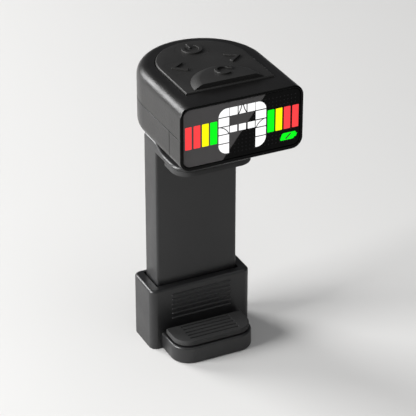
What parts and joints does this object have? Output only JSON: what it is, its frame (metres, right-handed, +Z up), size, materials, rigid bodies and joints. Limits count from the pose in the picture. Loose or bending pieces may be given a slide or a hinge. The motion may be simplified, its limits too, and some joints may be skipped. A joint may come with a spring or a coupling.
{
  "type": "clip on tuner",
  "caption": "Clip-on instrument tuner: a D-shaped head with a lit note display and rubber keys, on a tilting swivel above a padded ratchet clamp with a release lever.",
  "frame": {"origin": "centre of the lower jaw's flat underside, below the middle of the object's box", "axes": "+Z up along the clamp post, -Y towards the display, +X to the right of someone reading the display"},
  "size_m": [0.026, 0.0302, 0.0653],
  "materials": {
    "case_black": "fine satin moulding texture, near black",
    "keypad_rubber": "matte silicone, warm dark grey",
    "lens_acrylic": "smoked glossy window",
    "display_glass": "dark glossy segment display",
    "light_guide": "white light guide",
    "amber_film": "amber polyimide film",
    "board_green": "green solder mask",
    "chip_epoxy": "black epoxy",
    "steel": "bright nickel-plated steel",
    "brass": "plain brass",
    "clamp_black": "fine grained moulding",
    "pad_rubber": "soft matte rubber",
    "nylon": "dark satin nylon"
  },
  "bodies": {
    "clamp": {"clamp_frame": "clamp_black", "upper_pad": "pad_rubber", "ratchet_strip": "nylon", "end_cap": "clamp_black", "end_cap_screw": "steel"},
    "turret": {"swivel_turret": "clamp_black", "tilt_pin": "steel", "swivel_screw": "steel"},
    "head": {"top_shell": "case_black", "base_shell": "case_black", "display_lens": "lens_acrylic", "lcd_panel": "display_glass", "backlight_panel": "light_guide", "display_flex_strip": "amber_film", "keypad_mat": "keypad_rubber", "circuit_board": "board_green", "controller_chip": "chip_epoxy", "piezo_sensor": "brass", "power_switch": "steel", "left_switch": "steel", "right_switch": "steel", "mode_switch": "steel", "positive_contact": "steel", "negative_contact": "steel", "case_screw_left": "steel", "case_screw_right": "steel", "bracket_screw_left": "steel", "bracket_screw_right": "steel", "tilt_bracket": "steel"},
    "drawer": {"battery_drawer": "case_black", "coin_cell": "steel"},
    "power": {"power_button": "keypad_rubber"},
    "left": {"left_button": "keypad_rubber"},
    "right": {"right_button": "keypad_rubber"},
    "mode": {"mode_button": "keypad_rubber"},
    "jaw": {"lower_jaw": "clamp_black", "lower_pad": "pad_rubber", "lever_pin": "steel", "lever_spring": "steel"},
    "lever": {"release_lever": "clamp_black"}
  },
  "joints": [
    {"name": "head_pan", "type": "hinge", "parent": "clamp", "child": "turret", "pos_m": [0, 0.00208, 0.0465], "axis": [0, 0, 1], "range_deg": [-180, 180]},
    {"name": "head_tilt", "type": "hinge", "parent": "turret", "child": "head", "pos_m": [0, 0.00208, 0.04855], "axis": [1, 0, 0], "range_deg": [-12, 12]},
    {"name": "drawer_slide", "type": "slide", "parent": "head", "child": "drawer", "axis": [0, 1, 0], "range_m": [0, 0.024]},
    {"name": "jaw_slide", "type": "slide", "parent": "clamp", "child": "jaw", "axis": [0, 0, 1], "range_m": [-0.002, 0.016]},
    {"name": "lever_press", "type": "hinge", "parent": "jaw", "child": "lever", "pos_m": [0, 0.01372, 0.0085], "axis": [1, 0, 0], "range_deg": [0, 7], "stiffness_Nm_per_rad": 0.02},
    {"name": "power_press", "type": "slide", "parent": "head", "child": "power", "axis": [0, 0, -1], "range_m": [0, 0.0005], "stiffness_N_per_m": 200},
    {"name": "left_press", "type": "slide", "parent": "head", "child": "left", "axis": [0, 0, -1], "range_m": [0, 0.0005], "stiffness_N_per_m": 200},
    {"name": "right_press", "type": "slide", "parent": "head", "child": "right", "axis": [0, 0, -1], "range_m": [0, 0.0005], "stiffness_N_per_m": 200},
    {"name": "mode_press", "type": "slide", "parent": "head", "child": "mode", "axis": [0, 0, -1], "range_m": [0, 0.0005], "stiffness_N_per_m": 200}
  ]
}
